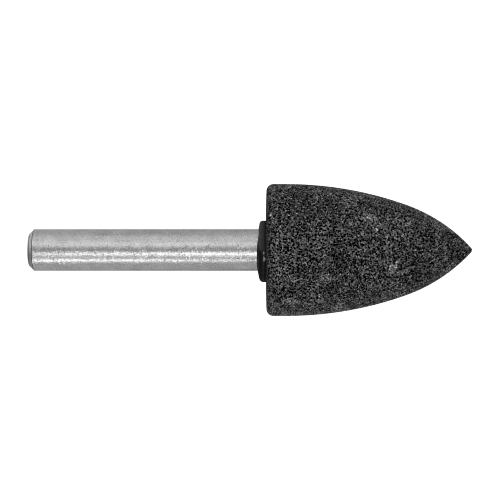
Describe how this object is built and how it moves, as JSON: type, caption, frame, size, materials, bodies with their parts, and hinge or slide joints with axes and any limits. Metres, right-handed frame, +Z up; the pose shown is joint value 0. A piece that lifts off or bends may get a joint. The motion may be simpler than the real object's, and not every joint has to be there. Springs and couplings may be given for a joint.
{
  "type": "mounted point",
  "caption": "Pointed-arch abrasive head on a straight steel shank, for shaping and deburring in a die grinder; a cement collar bonds the head to the grooved end of the spindle.",
  "frame": {"origin": "on the spindle's axis, where the bare shank ends and the cement collar begins: the mouth of a collet pushed right up to the collar", "axes": "+X along the spindle's axis from the shank to the head's tip, +Z up"},
  "size_m": [0.0637, 0.019, 0.019],
  "materials": {
    "shank_steel": "drawn bright bar, fine streaks along the axis",
    "abrasive_grain": "matt charcoal grain with open pores and pale grain faces",
    "bonding_cement": "smooth satin black cement"
  },
  "bodies": {
    "root": {"spindle": "shank_steel", "abrasive_head": "abrasive_grain", "cement_collar": "bonding_cement"}
  },
  "joints": []
}
